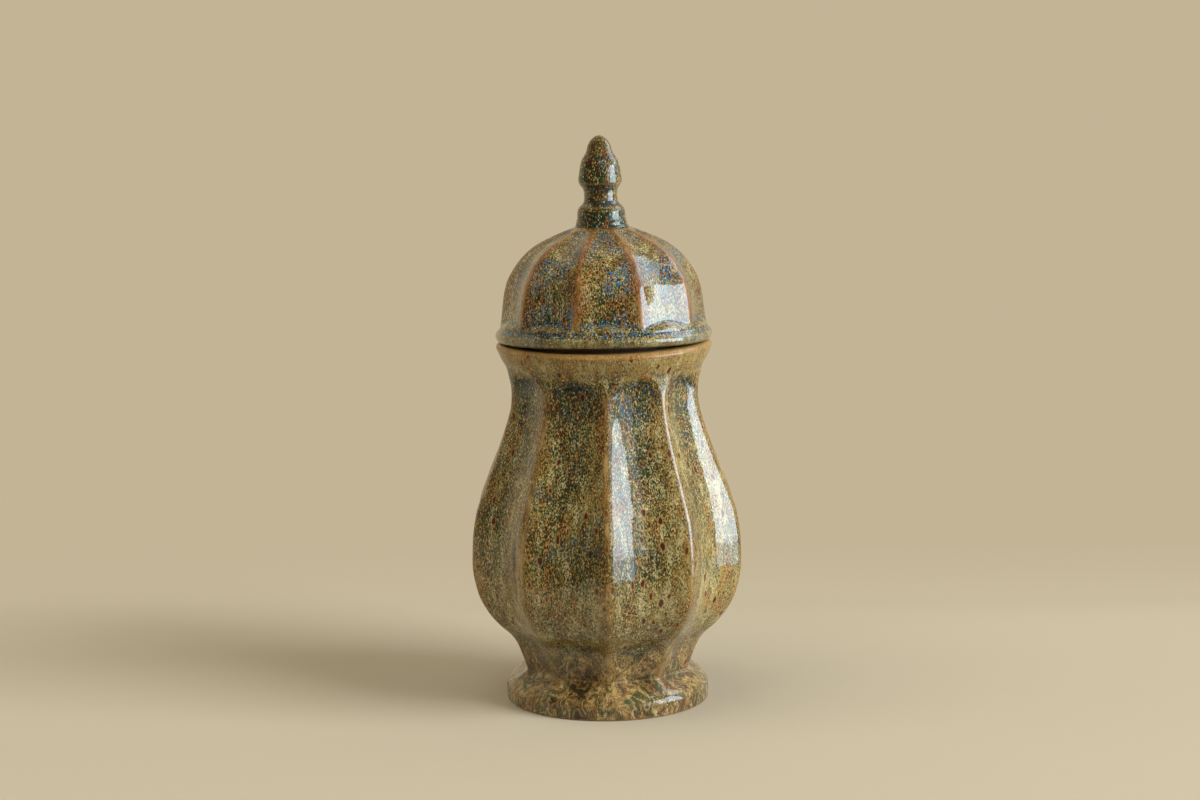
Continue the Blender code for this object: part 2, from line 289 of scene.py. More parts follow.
# each outline goes by (share of the rise, share of the spread) between two key sizes
waistToBelly = (
    (0.0, 0.0), (0.139, 0.10), (0.258, 0.203), (0.32, 0.29), (0.43, 0.525),
    (0.563, 0.737), (0.735, 0.905), (1.0, 1.0))
bellyToNeck = (
    (0.0, 0.0), (0.121, 0.014), (0.276, 0.099), (0.448, 0.338), (0.62, 0.618),
    (0.776, 0.836), (0.922, 0.986), (1.0, 1.0))
neckToRim = ((0.0, 0.0), (0.47, 0.13), (0.74, 0.60), (1.0, 1.0))
footShoulder = ((0.0, 0.0), (0.20, 0.08), (0.43, 0.28), (0.66, 0.58), (0.88, 0.87), (1.0, 1.0))

# how deep the flutes are at a height, as a share of the radius
jarFlutes = ((jar["waistHeight"], 0.060), (jar["bellyHeight"], 0.105), (jar["neckHeight"], 0.078))


def jarOutline():
    # (height, radius) points over the ridges, from the waist over belly and neck to the rim
    waist, belly = (jar["waistHeight"], jar["waistRadius"]), (jar["bellyHeight"], jar["bellyRadius"])
    neck, rim = (jar["neckHeight"], jar["neckRadius"]), (jar["rimHeight"] - jar["rimRound"], jar["rimRadius"])
    below, above = stretch(waist, belly, waistToBelly), stretch(belly, neck, bellyToNeck)
    return below + above[1:] + stretch(neck, rim, neckToRim)[1:]


def jarFluteDepth(height, angle):
    # share of the radius, times the flute's section, faded out over an arch under the rim
    arch = jar["rimHeight"] - jar["archDrop"] - jar["archRise"] * (1.0 - ridgeDistance(angle, 0.0)) ** 2
    depth = smoothCurve(jarFlutes, height) * smoothCurve(jarOutline(), height)
    return depth * fluteHollow(angle, 0.0) * smoothStep((arch - height) / jar["archSoft"])


def settle(points):
    # bends the jar above its belly along a parabola, tips its rings with it, and sags its rim front and back
    x, y, z = np.moveaxis(points, -1, 0)
    reach, rise = jar["rimHeight"] - jar["bellyHeight"], np.maximum(0.0, z - jar["bellyHeight"])
    towardsRim = smoothStep((z - jar["neckHeight"]) / (jar["rimHeight"] - jar["neckHeight"]))
    sag = jar["rimDip"] * (y / np.maximum(np.hypot(x, y), nothing)) ** 2 * towardsRim
    bent = x - jar["lean"] * rise ** 2 / (2.0 * reach)
    return np.stack([bent, y, z + x * np.sin(jar["lean"] * rise / reach) - sag], axis=-1)


def fluteRings(height, wall=0.0):
    # settled rings of the outline's radius, less the wall and the flutes, at a column of heights
    angle = fluteAngles(0.0)
    radius = smoothCurve(jarOutline(), height) - wall - jarFluteDepth(height, angle)
    return settle(polar(radius, angle, height))


def plainRings(*paths):
    # settled round rings along a profile
    radius, height = joinPaths(*paths)
    return settle(polar(radius, fluteAngles(0.0), height))


def footRings():
    # up the recess's wall, out over the seat, round its edge and up its shoulder, r (1 - d hollow), where
    # the flutes' depth d fades in
    seat, edge, waist, steps = foot["seatInner"], foot["edge"], jar["waistHeight"], foot["steps"]
    bevel = edge / 2.0
    under = plainRings(
        line((foot["boreRadius"], waist - jar["seam"]), (seat - bevel, bevel), steps["recess"]),
        line((seat - bevel, bevel), (seat, 0.0), steps["bevel"]),
        line((seat, 0.0), (foot["radius"] - edge, 0.0), steps["seat"]),
        fillet(foot["radius"], 2.0 * edge, edge, facesDown, facesOut, steps["edge"]))
    height = np.linspace(2.0 * edge, waist, steps["flare"])[1:-1, None]
    shoulder = stretch((foot["band"], foot["radius"]), (waist, jar["waistRadius"]), footShoulder)
    depth = jarFlutes[0][1] * smoothStep((height - foot["band"]) / (waist - foot["band"]))
    angle = fluteAngles(0.0)
    flare = polar(smoothCurve(shoulder, height) * (1.0 - depth * fluteHollow(angle, 0.0)), angle, height)
    return np.concatenate([under, flare])


def wallRings():
    # the fluted wall, from the waist over belly and neck to the rim's edge
    heights = (jar["waistHeight"], jar["bellyHeight"], jar["neckHeight"], jar["rimHeight"] - jar["rimRound"])
    runs = [np.linspace(*ends) for ends in zip(heights, heights[1:], jar["steps"]["wall"])]
    return fluteRings(np.concatenate([runs[0][:-1], runs[1][:-1], runs[2]])[:, None])


def rimRings():
    # over the rim and down the mouth
    rim, mouth, top, steps = jar["rimRadius"], jar["mouthRadius"], jar["rimHeight"], jar["steps"]
    return plainRings(
        fillet(rim, top, jar["rimRound"], facesOut, facesUp, steps["rimEdge"]),
        line((rim - jar["rimRound"], top), (mouth + jar["mouthRound"], top), steps["rimTop"]),
        fillet(mouth, top, jar["mouthRound"], facesUp, facesOut, steps["mouthEdge"], -1.0),
        line((mouth, top - jar["mouthRound"]), (mouth, jar["mouthFoot"]), steps["mouth"]))


def insideRings():
    # down the inside of the wall, and over the floor to its middle
    low, steps = jar["floorHeight"] + jar["innerRound"], jar["steps"]
    height = np.linspace(jar["mouthFoot"] - jar["archSoft"], low, steps["inside"])[:, None]
    corner = smoothCurve(jarOutline(), np.array([low]))[0] - 2.0 * jar["wall"]
    middle = (0.0, jar["floorHeight"])
    floor = plainRings(line((corner, jar["floorHeight"] + jar["seam"]), middle, steps["floor"]))
    return np.concatenate([fluteRings(height, jar["wall"]), floor])


def makeJar(bodyGlaze, footGlaze):
    # foot and body share the waist's ring and its normals; inside it, each closes with a ring of its own
    shared = fluteRings(np.array([[jar["waistHeight"]]]))
    inset = 1.0 - jar["seamInset"] / jar["waistRadius"]
    hidden, apart = shared * (inset, inset, 1.0), np.array((0.0, 0.0, jar["seam"]))
    lower, wall = footRings(), wallRings()
    low = jar["waistHeight"] + jar["seam"]
    below = plainRings(line((0.0, low), (foot["boreRadius"], low), jar["steps"]["underside"]))
    footGrid = np.concatenate([lower, shared, hidden - apart])
    bodyGrid = np.concatenate([below, hidden + apart, wall, rimRings()[1:], insideRings()])
    normals = ringNormals(handMade(np.concatenate([lower[-1:], shared, wall[1:2]])))[1]
    onSeat = np.abs(footGrid[..., 2]).max(axis=1)[:, None] < foot["bareBelow"]
    addSkin("foot", footGrid, footGlaze, "jar", ["foot_ring"], closed=True,
            seams=[(len(lower), normals)], bare=onSeat.astype(float))
    addSkin("jar", bodyGrid, bodyGlaze, "jar", ["jar_body"],
            seams=[(len(below) + 1, normals)])


# The lid, its locating flange and its finial

lid = {
    "gap": 0.0003, "arch": 0.0022, "turn": 21.0 * degree,
    "rollRadius": 0.0725, "rollHeight": 0.0090, "rollRound": 0.0040, "rollEnd": 50.0,
    "domeRadius": 0.0695, "domeHeight": 0.0762, "wall": 0.0060,
    "bore": 0.0534, "shelf": 0.0060, "shelfTop": 0.0090,
    "fluteSoft": 0.0050, "fluteRise": 0.0030,
    "edgeFlute": 0.050, "middleFlute": 0.074, "crownFlute": 0.035,
    "crownDrop": 0.0016, "crownFrom": 0.050, "crownFull": 0.066, "crownEnd": 0.0010, "crownSoft": 0.0024,
    # mesh steps along the profile, and how far the dome's rings crowd towards its top
    "steps": {"crown": 5, "inside": 30, "shelf": 4, "bore": 4, "seat": 6, "roll": 16, "dome": 110, "cap": 4},
    "crowding": 1.4,
}
flange = {
    "radius": 0.0582, "bore": 0.0534, "depth": 0.0085, "round": 0.0012,
    "steps": {"side": 8, "edge": 5, "underside": 4},
}
finial = {
    "height": 0.0597, "bulb": 0.0146, "neck": 0.0111, "collar": 0.0172, "fillet": 0.0022,
    "lean": 0.8 * degree,
    "steps": {"fillet": 10, "knob": 84},
}
domeShares = (
    (0.0, 1.0), (0.079, 0.979), (0.198, 0.962), (0.332, 0.939), (0.466, 0.895), (0.60, 0.801),
    (0.719, 0.681), (0.823, 0.518), (0.912, 0.291), (0.972, 0.099), (1.0, 0.0))

# (share of the height, the part whose radius counts, share of that radius)
finialShares = (
    (0.045, "collar", 0.985), (0.085, "collar", 0.945), (0.155, "collar", 0.925), (0.205, "collar", 0.86),
    (0.245, "neck", 1.10), (0.285, "neck", 1.01), (0.345, "neck", 1.0), (0.405, "neck", 1.05),
    (0.44, "bulb", 0.90), (0.475, "bulb", 0.985), (0.51, "bulb", 1.0), (0.58, "bulb", 0.96),
    (0.66, "bulb", 0.905), (0.735, "bulb", 0.81), (0.79, "bulb", 0.67), (0.83, "bulb", 0.59),
    (0.87, "bulb", 0.55), (0.93, "bulb", 0.43), (0.97, "bulb", 0.27), (0.992, "bulb", 0.12),
    (1.0, "bulb", 0.0))
filletShares = ((-0.50, 0.50), (-0.25, 0.34), (0.20, 0.12))  # (rise, spread past the collar), in fillets


def domeOutline():
    # (height, radius) points over the ridges, from the roll to the collar
    spread, rise = lid["domeRadius"] - finial["collar"], lid["domeHeight"] - lid["rollHeight"]
    return [(lid["rollHeight"] + rise * up, finial["collar"] + spread * out) for up, out in domeShares]


def domeFluteDepth(height, angle):
    # share of the radius, times the flute's section, faded in over the roll at the lid's edge
    low, high = lid["rollHeight"], lid["domeHeight"]
    shares = ((low, lid["edgeFlute"]), ((low + high) / 2.0, lid["middleFlute"]), (high, lid["crownFlute"]))
    start = low + lid["fluteRise"] * ridgeDistance(angle, lid["turn"])
    depth = smoothCurve(shares, height) * smoothCurve(domeOutline(), height)
    return depth * fluteHollow(angle, lid["turn"]) * smoothStep((height - start) / lid["fluteSoft"])


def crownDrop(height, angle):
    # how far the flutes also sink where the dome turns flat, faded in up the dome and out at the collar
    fadeIn = smoothStep((height - lid["crownFrom"]) / (lid["crownFull"] - lid["crownFrom"]))
    fadeOut = smoothStep((lid["domeHeight"] - lid["crownEnd"] - height) / lid["crownSoft"])
    return lid["crownDrop"] * fluteHollow(angle, lid["turn"]) * fadeIn * fadeOut


def arched(radius, height):
    # the edge lifts front and back, by gap + arch cos^2(angle), and the lift fades out up the dome
    angle = fluteAngles(lid["turn"])
    lift = lid["gap"] + lid["arch"] * np.cos(angle) ** 2
    return polar(radius, angle, height + lift * (1.0 - smoothStep(height / lid["domeHeight"])))


def tipped(points, tip, place):
    # turns points about Y by -tip and moves them to a place
    x, y, z = np.moveaxis(points, -1, 0)
    turned = np.stack([x * np.cos(tip) - z * np.sin(tip), y, x * np.sin(tip) + z * np.cos(tip)], axis=-1)
    return turned + np.array(place)


def placeLid(points):
    # from the lid's own axis to the rim's centre, tipped by the jar's lean
    sideways = jar["lean"] * (jar["rimHeight"] - jar["bellyHeight"]) / 2.0
    return tipped(points, jar["lean"], (-sideways, 0.0, jar["rimHeight"]))


def domeRings():
    # under the crown, down the inside, out over the seat, round the roll, up the flutes and over the top;
    # the second result marks the unglazed rows, on the bore and the seat
    bore, roll, steps, angle = lid["bore"], lid["rollRound"], lid["steps"], fluteAngles(lid["turn"])
    collar, peak = finial["collar"], lid["domeHeight"]
    top = peak - lid["wall"]
    crown = arched(*joinPaths(line((0.0, top), (collar, top), steps["crown"])))
    crown[0] = crown[0].mean(axis=0)  # a pole is a single point
    height = np.linspace(top - lid["wall"] / 2.0, lid["rollHeight"] + lid["shelf"], steps["inside"])[:, None]
    inner = arched(smoothCurve(domeOutline(), height) - lid["wall"] - domeFluteDepth(height, angle), height)
    edge = arched(*joinPaths(
        line((bore + lid["wall"], lid["shelfTop"]), (bore, lid["shelf"]), steps["shelf"]),
        line((bore, lid["shelf"]), (bore, 0.0), steps["bore"]),
        line((bore, 0.0), (lid["rollRadius"] - roll, 0.0), steps["seat"]),
        fillet(lid["rollRadius"], 2.0 * roll, roll, facesDown, lid["rollEnd"], steps["roll"])))
    below = np.linspace(1.0, 0.0, steps["dome"])[:, None] ** lid["crowding"]
    height = peak - (peak - lid["rollHeight"]) * below
    radius = smoothCurve(domeOutline(), height) - domeFluteDepth(height, angle)
    dome = arched(radius, height - crownDrop(height, angle))
    cap = arched(*joinPaths(line((collar, peak), (0.0, peak), steps["cap"])))
    rings = np.concatenate([crown, inner, edge, dome, cap[1:]])
    row = np.arange(len(rings))[:, None] - len(crown) - len(inner) - steps["shelf"]
    unglazed = (row >= 0) & (row < steps["bore"] + steps["seat"] - 3)
    return rings, unglazed.astype(float)


def flangeRings():
    # a ring that hangs from the shelf into the mouth
    low, high, edge, steps = -flange["depth"], lid["gap"], flange["round"], flange["steps"]
    bore, radius = flange["bore"], flange["radius"]
    return arched(*joinPaths(
        line((bore, high), (bore, low + edge), steps["side"]),
        fillet(bore, low + 2.0 * edge, edge, facesOut, facesDown, steps["edge"], -1.0),
        line((bore + edge, low), (radius - edge, low), steps["underside"]),
        fillet(radius, low + 2.0 * edge, edge, facesDown, facesOut, steps["edge"]),
        line((radius, low + edge), (radius, high - 2.0 * lid["gap"]), steps["side"])))


def finialRings():
    # from its base over a small fillet, collar, neck and bulb to its tip, a little aslant
    small, collar, steps = finial["fillet"], finial["collar"], finial["steps"]
    angle = fluteAngles(lid["turn"])
    outline = [(up * small, collar + out * small) for up, out in filletShares]
    outline += [(up * finial["height"], finial[part] * out) for up, part, out in finialShares]
    low = np.linspace(outline[0][0], small, steps["fillet"])[:-1]
    height = np.concatenate([low, np.linspace(small, finial["height"], steps["knob"])])[:, None]
    base = polar(np.array([[0.0], [collar - small]]), angle, lid["gap"])
    rings = np.concatenate([base, polar(smoothCurve(outline, height), angle, height)])
    raised = lid["domeHeight"] + lid["gap"] + collar * np.sin(finial["lean"])
    return tipped(rings, finial["lean"], (0.0, 0.0, raised))


def makeLid(lidGlaze, finialGlaze, clay):
    # three skins, tipped onto the jar's rim together
    dome, unglazed = domeRings()
    addSkin("lidDome", placeLid(dome), lidGlaze, "lid", ["lid_dome"], bare=unglazed)
    addSkin("lidFlange", placeLid(flangeRings()), clay, "lid", ["lid_flange"], closed=True)
    addSkin("finialKnob", placeLid(finialRings()), finialGlaze, "lid", ["finial"])


# Colours and nodes

def toLinear(hexColour):
    # sRGB hex to linear light: v / 12.92 when dark, else ((v + 0.055) / 1.055)^2.4
    value = np.array([int(hexColour[i:i + 2], 16) for i in (1, 3, 5)]) / 255.0
    linear = np.where(value <= 0.04045, value / 12.92, ((value + 0.055) / 1.055) ** 2.4)
    return (*linear.tolist(), 1.0)


# short names for nodes that come often: the kind and its settings
shortNames = {
    "sum": ("Math", {"operation": "ADD"}),
    "difference": ("Math", {"operation": "SUBTRACT"}),
    "product": ("Math", {"operation": "MULTIPLY"}),
    "productPlus": ("Math", {"operation": "MULTIPLY_ADD"}),  # first * second + third
    "larger": ("Math", {"operation": "MAXIMUM"}),
    "isOver": ("Math", {"operation": "GREATER_THAN"}),
    "isUnder": ("Math", {"operation": "LESS_THAN"}),
    "grain": ("TexNoise", {}),  # place, scale, detail and roughness; its lumps are about half of its size
    "cells": ("TexVoronoi", {}),  # place and scale; one dot in each cell
    "ramp": ("ValToRGB", {}),
    "band": ("MapRange", {"interpolation_type": "SMOOTHSTEP"}),  # value, from, to, least and most
    "blend": ("Mix", {"data_type": "RGBA"}),  # share, first and second colour
}


def addNode(tree, kind, *inputs, named=None, stops=(), **settings):
    # a node with its settings; inputs in order, or named, are values, hex colours, and sockets or nodes as
    # links, where a node stands for its first output; stops are the (share, hex colour) pairs of a ramp
    kind, known = shortNames.get(kind, (kind, {}))
    node = tree.nodes.new("ShaderNode" + kind)
    for key, value in {**known, **settings}.items():
        setattr(node, key, value)
    sockets = [socket for socket in node.inputs if socket.enabled]
    byName = [(node.inputs[key], value) for key, value in (named or {}).items()]
    for socket, value in [*zip(sockets, inputs), *byName]:
        if isinstance(value, bpy.types.Node):
            value = next(output for output in value.outputs if output.enabled)
        if isinstance(value, bpy.types.NodeSocket):
            tree.links.new(value, socket)
        else:
            socket.default_value = toLinear(value) if isinstance(value, str) else value
    if stops:
        elements = node.color_ramp.elements
        while len(elements) < len(stops):
            elements.new(0.5)
        for element, (share, colour) in zip(elements, stops):
            element.position, element.color = share, toLinear(colour)
    return node


def newMaterial(name):
    # a material whose node tree is empty
    material = bpy.data.materials.new(name)
    material.use_nodes = True
    material.node_tree.nodes.clear()
    return material, material.node_tree


def perMetre(size):
    # the scale of a pattern whose lumps or cells go by a size in mm
    return 1.0 / (size * millimetre)


def stretched(tree, place, share):
    # slows a pattern down along Z, so that it runs down the walls
    return addNode(tree, "VectorMath", place, (1.0, 1.0, share), operation="MULTIPLY")


def drifted(tree, place, size, reach):
    # moves a pattern's coordinates about by up to half of reach, as molten glaze drifts; both in mm
    noise = addNode(tree, "grain", place, perMetre(size), 2.0, 0.6).outputs["Color"]
    push = addNode(tree, "VectorMath", noise, (0.5, 0.5, 0.5), operation="SUBTRACT")
    push = addNode(tree, "VectorMath", push, reach * millimetre, operation="SCALE")
    return addNode(tree, "VectorMath", place, push, operation="ADD")


def sway(tree, level, noise, share):
    # level + share * (noise - 1/2)
    return addNode(tree, "productPlus", noise, share, addNode(tree, "difference", level, share / 2.0))


# The reactive glaze, which parts into crystals as it runs down in the kiln. To the eye it is speckled in
# olive, brown and straw under a deep gloss, with rust where it thins over ridges and blue where cobalt
# gathers. Sizes of patterns are in mm, and a noise is (scale, detail, roughness).

glazeShared = {
    # how much patterns and long streaks stretch down the walls, and how the molten glaze drifts
    "run": 0.5, "streak": 0.4, "driftSize": 7.0, "drift": 2.4,
    "fineNoise": (perMetre(0.84), 2.0, 0.75), "toneNoise": (perMetre(20.0), 3.0, 0.6),
    "veinNoise": (perMetre(6.0), 4.0, 0.65), "hueNoise": (perMetre(4.0), 3.0, 0.65),

    # dark and pale crystals: the level at which one gives way to the other, and what sways it
    "darks": ((0.36, "#3f1e08"), (0.44, "#2c1f08"), (0.50, "#19220a"), (0.58, "#0f2916"), (0.67, "#132d28")),
    "pales": ((0.36, "#b1864a"), (0.50, "#978950"), (0.64, "#b6aa7c")),
    "paleFrom": 0.41, "paleTo": 0.625, "paleShare": 0.0,
    "toneShare": 0.26, "veinShare": 0.24, "poolShare": -0.05,

    # zones of the wall, in metres: above the belly, on the side at +X (painted light: paler where the lamps
    # stand), under the arches and by the rim; ragged is how far a zone's edge wanders with the veins
    "bellyLine": jar["bellyHeight"] + 10.0 * millimetre, "bellyFade": 20.0 * millimetre, "bellyRagged": 0.05,
    "paintedLightFade": 75.0 * millimetre, "ragged": 0.012,
    "archHeight": jar["neckHeight"] - 8.0 * millimetre, "archFade": 12.0 * millimetre,
    "rimStart": jar["rimHeight"] - 16.7 * millimetre, "rimFade": 6.0 * millimetre,
    "blueFade": 8.0 * millimetre,
    "dryStart": jar["rimHeight"] - 30.7 * millimetre, "dryFade": 12.0 * millimetre,
    "upperDark": 0.0, "sidePaintedLight": 0.0, "archDark": 0.0, "archBlue": 0.0,
    "rimPale": 0.0, "rimTone": "#83683f", "rimShare": 0.0, "rimClear": 1.0,

    # cobalt flecks, the palest specks, and iron spots with their tan rings
    "cobalt": "#174c69", "cobaltShare": 0.65,
    "fleckNoise": (perMetre(1.7), 1.0, 0.6), "fleckBand": (0.54, 0.62),
    "patchNoise": (perMetre(30.0), 2.0, 0.6), "patchBand": (0.55, 0.65),
    "speck": "#decc9c", "speckCell": 1.8, "speckBand": (0.26, 0.14), "speckShare": 0.55,
    "spotCell": 6.0, "spotDriftSize": 2.4, "spotDrift": 2.0, "spotPick": (0.32, 0.47),
    "spotRing": "#97703f", "ringBand": (0.34, 0.27), "ringShare": 0.7,
    "spotCore": "#34110a", "coreBand": (0.25, 0.19), "coreShare": 0.95,

    # marbling low on the jar: slow clouds and fine threads of noises that drift twice
    "marbled": False, "swirlRun": 0.75, "swirls": ((20.0, 18.0), (7.0, 4.5)),
    "cloudNoise": (perMetre(30.0), 3.0, 0.5), "threadNoise": (perMetre(16.0), 3.0, 0.5), "threadShare": 0.5,
    "clouds": (
        (0.37, "#1f180c"), (0.42, "#6d4d26"), (0.455, "#a98a52"), (0.48, "#42221f"), (0.52, "#2f5234"),
        (0.56, "#bb9c64"), (0.60, "#4a2230"), (0.65, "#1f3f2e")),
    "threads": (
        (0.38, "#1a1209"), (0.42, "#b08e54"), (0.445, "#4a160c"), (0.48, "#56582f"), (0.51, "#d8ba84"),
        (0.53, "#1a3a28"), (0.565, "#927040"), (0.59, "#3c130c"), (0.63, "#b0965e")),
    "marbleGrain": "#1e160b", "marbleGrainBand": (0.49, 0.37), "marbleGrainShare": 0.85,
    "marbleTop": jar["waistHeight"] + 31.5 * millimetre, "marbleFade": 12.0 * millimetre,
    "marbleRagged": 0.024, "marbleShare": 0.9,

    # the glaze thins over crests, lips and ridges, unevenly, and is wiped off where it is bare
    "wearBand": (0.40, 0.60), "leastWear": 0.3,
    "crest": "#80602f", "crestBand": (0.42, 0.58), "crestLeast": 0.1, "crestShare": 0.25,
    "lip": "#94683a", "lipShare": 0.6,
    "rust": "#7c5a2c", "rustPale": "#b49762", "paleRust": 0.7, "ridgeShare": 0.55, "ridgeBand": (0.15, 0.8),
    "clay": "#a98b62",

    # crystals give a broad haze; the clear coat over them is glossy, softly swelling and weak in places
    "haze": 0.42, "ior": 1.27,
    "coatIor": 1.52, "coatGloss": 0.045, "coatLeast": 0.9, "coatBand": (0.38, 0.52),
    "swellNoise": (perMetre(9.0), 2.0, 0.6), "swellDepth": 0.10, "crystalDepth": 0.02,
}
glazes = {
    "jar": {
        "name": "speckledOliveGlaze", "marbled": True,
        "paleFrom": 0.385, "upperDark": 0.036, "sidePaintedLight": 0.045, "archDark": 0.035, "archBlue": 0.35,
        "rimPale": 0.115, "rimShare": 0.3, "rimClear": 0.4, "coatLeast": 0.75, "coatGloss": 0.055,
    },
    "foot": {
        "name": "marbledFootGlaze", "marbled": True,
        "ridgeShare": 0.3, "lip": "#a2783f", "lipShare": 0.3, "coatLeast": 0.6,
    },
    "lid": {
        "name": "blueFleckedGlaze", "paleShare": -0.03, "spotCell": 4.2,
        "cobalt": "#196496", "cobaltShare": 0.9,
        "fleckNoise": (perMetre(1.1), 1.0, 0.6), "patchBand": (0.50, 0.62),
        "crest": "#8a5a2a", "crestShare": 0.5, "lip": "#8f8a62", "lipShare": 0.5,
        "rust": "#77491f", "rustPale": "#aa8053", "ridgeShare": 0.62, "ridgeBand": (0.08, 0.48),
    },
    "finial": {
        "name": "speckledBrownGlaze", "paleShare": -0.09, "spotCell": 4.2,
        "cobalt": "#24558c", "cobaltShare": 0.45, "fleckNoise": (perMetre(1.5), 1.0, 0.6),
        "ridgeShare": 0.0, "lip": "#a88850", "lipShare": 0.3,
    },
}


def glazeMaps(tree, look):
    # what the layers of a glaze share: places, the skin's masks, noises that run down the walls, and zones
    place = addNode(tree, "TexCoord").outputs["Object"]
    sideways, _, height = addNode(tree, "SeparateXYZ", place).outputs
    runs = stretched(tree, drifted(tree, place, look["driftSize"], look["drift"]), look["run"])
    streaks = stretched(tree, runs, look["streak"])
    maps = {"place": place, "sideways": sideways, "height": height, "runs": runs}
    for key in ("ridge", "crest", "lip", "pool", "bare"):
        maps[key] = addNode(tree, "Attribute", attribute_name=key).outputs["Fac"]
    for key, where in (("fine", runs), ("tone", runs), ("vein", streaks), ("hue", streaks)):
        maps[key] = addNode(tree, "grain", where, *look[key + "Noise"])
    maps["edge"] = addNode(tree, "productPlus", maps["vein"], look["ragged"], height)
    arch, fade, rim = look["archHeight"], look["archFade"], look["rimStart"]
    maps["underArch"] = addNode(tree, "band", maps["edge"], arch - fade, arch + fade)
    maps["nearRim"] = addNode(tree, "band", maps["edge"], rim, rim + look["rimFade"])
    return maps


def crystals(tree, look, maps):
    # pale crystals over brown, green and teal ones; their balance drifts slowly over the wall, and is paler
    # at +X as painted light
    level = addNode(tree, "sum", maps["fine"], look["paleShare"])
    level = sway(tree, level, maps["tone"], look["toneShare"])
    level = sway(tree, level, maps["vein"], look["veinShare"])
    level = addNode(tree, "productPlus", maps["pool"], look["poolShare"], level)
    belly = addNode(tree, "productPlus", maps["vein"], look["bellyRagged"], maps["height"])
    belly = addNode(tree, "band", belly, look["bellyLine"], look["bellyLine"] + look["bellyFade"])
    level = addNode(tree, "productPlus", belly, -look["upperDark"], level)
    # painted light: the side at +X, where the key lamp and the window stand, is made paler
    side = addNode(tree, "band", maps["sideways"], 0.0, look["paintedLightFade"])
    level = addNode(tree, "productPlus", side, look["sidePaintedLight"], level)
    level = addNode(tree, "productPlus", maps["underArch"], -look["archDark"], level)
    level = addNode(tree, "productPlus", maps["nearRim"], look["rimPale"], level)
    dark = addNode(tree, "ramp", maps["hue"], stops=look["darks"])
    pale = addNode(tree, "ramp", maps["vein"], stops=look["pales"])
    level = addNode(tree, "band", level, look["paleFrom"], look["paleTo"])
    colour = addNode(tree, "blend", level, dark, pale)
    rim = addNode(tree, "product", maps["nearRim"], look["rimShare"])
    return addNode(tree, "blend", rim, colour, look["rimTone"])


def cobaltFlecks(tree, look, maps, colour):
    # flecks in patches, in hollows and under the arches
    patch = addNode(tree, "grain", maps["place"], *look["patchNoise"])
    patch = addNode(tree, "band", patch, *look["patchBand"])
    patch = addNode(tree, "larger", patch, maps["pool"])
    belowRim = addNode(tree, "band", maps["edge"], look["rimStart"], look["rimStart"] - look["blueFade"])
    high = addNode(tree, "product", maps["underArch"], belowRim)
    patch = addNode(tree, "larger", patch, addNode(tree, "product", high, look["archBlue"]))
    fleck = addNode(tree, "grain", maps["runs"], *look["fleckNoise"])
    fleck = addNode(tree, "band", fleck, *look["fleckBand"], 0.0, look["cobaltShare"])
    return addNode(tree, "blend", addNode(tree, "product", patch, fleck), colour, look["cobalt"])


def paleSpecks(tree, look, maps, colour):
    # the palest crystals stand alone
    distance = addNode(tree, "cells", maps["runs"], perMetre(look["speckCell"]))
    share = addNode(tree, "band", distance, *look["speckBand"], 0.0, look["speckShare"])
    return addNode(tree, "blend", share, colour, look["speck"])


def ironSpots(tree, look, maps, colour):
    # in some of the cells, a dark core in a tan ring, long from running
    place = drifted(tree, maps["runs"], look["spotDriftSize"], look["spotDrift"])
    dots = addNode(tree, "cells", place, perMetre(look["spotCell"])).outputs
    chance = addNode(tree, "SeparateColor", dots["Color"])
    some = addNode(tree, "band", chance, *look["spotPick"])
    for part, tint in (("ring", "spotRing"), ("core", "spotCore")):
        share = addNode(tree, "band", dots["Distance"], *look[part + "Band"], 0.0, look[part + "Share"])
        colour = addNode(tree, "blend", addNode(tree, "product", share, some), colour, look[tint])
    return colour


def marbling(tree, look, maps, colour):
    # half clouds and half threads, grainy, up to a ragged line over the waist
    place = stretched(tree, maps["place"], look["swirlRun"])
    for size, reach in look["swirls"]:
        place = drifted(tree, place, size, reach)
    clouds = addNode(tree, "grain", place, *look["cloudNoise"])
    clouds = addNode(tree, "ramp", clouds, stops=look["clouds"])
    threads = addNode(tree, "grain", place, *look["threadNoise"])
    threads = addNode(tree, "ramp", threads, stops=look["threads"])
    veins = addNode(tree, "blend", look["threadShare"], clouds, threads)
    dust = addNode(tree, "band", maps["fine"], *look["marbleGrainBand"], 0.0, look["marbleGrainShare"])
    veins = addNode(tree, "blend", dust, veins, look["marbleGrain"])
    low = addNode(tree, "productPlus", maps["vein"], look["marbleRagged"], maps["height"])
    top, fade = look["marbleTop"], look["marbleFade"]
    low = addNode(tree, "band", low, top + fade, top - fade, 0.0, look["marbleShare"])
    return addNode(tree, "blend", low, colour, veins)


def wornEdges(tree, look, maps, colour):
    # crests turn brown in grains, lips tan, and ridges rust and then pale rust; bare clay shows last
    worn = addNode(tree, "band", maps["vein"], *look["wearBand"], look["leastWear"], 1.0)
    grains = addNode(tree, "band", maps["fine"], *look["crestBand"], look["crestLeast"], look["crestShare"])
    colour = addNode(tree, "blend", addNode(tree, "product", maps["crest"], grains), colour, look["crest"])
    lips = addNode(tree, "product", maps["lip"], worn)
    colour = addNode(tree, "blend", addNode(tree, "product", lips, look["lipShare"]), colour, look["lip"])
    ridges = addNode(tree, "product", maps["ridge"], worn)
    rust = addNode(tree, "band", ridges, *look["ridgeBand"], 0.0, look["ridgeShare"])
    colour = addNode(tree, "blend", rust, colour, look["rust"])
    most = look["paleRust"] * look["ridgeShare"]
    rust = addNode(tree, "band", ridges, look["ridgeBand"][1], 1.0, 0.0, most)
    colour = addNode(tree, "blend", rust, colour, look["rustPale"])
    return addNode(tree, "blend", maps["bare"], colour, look["clay"])


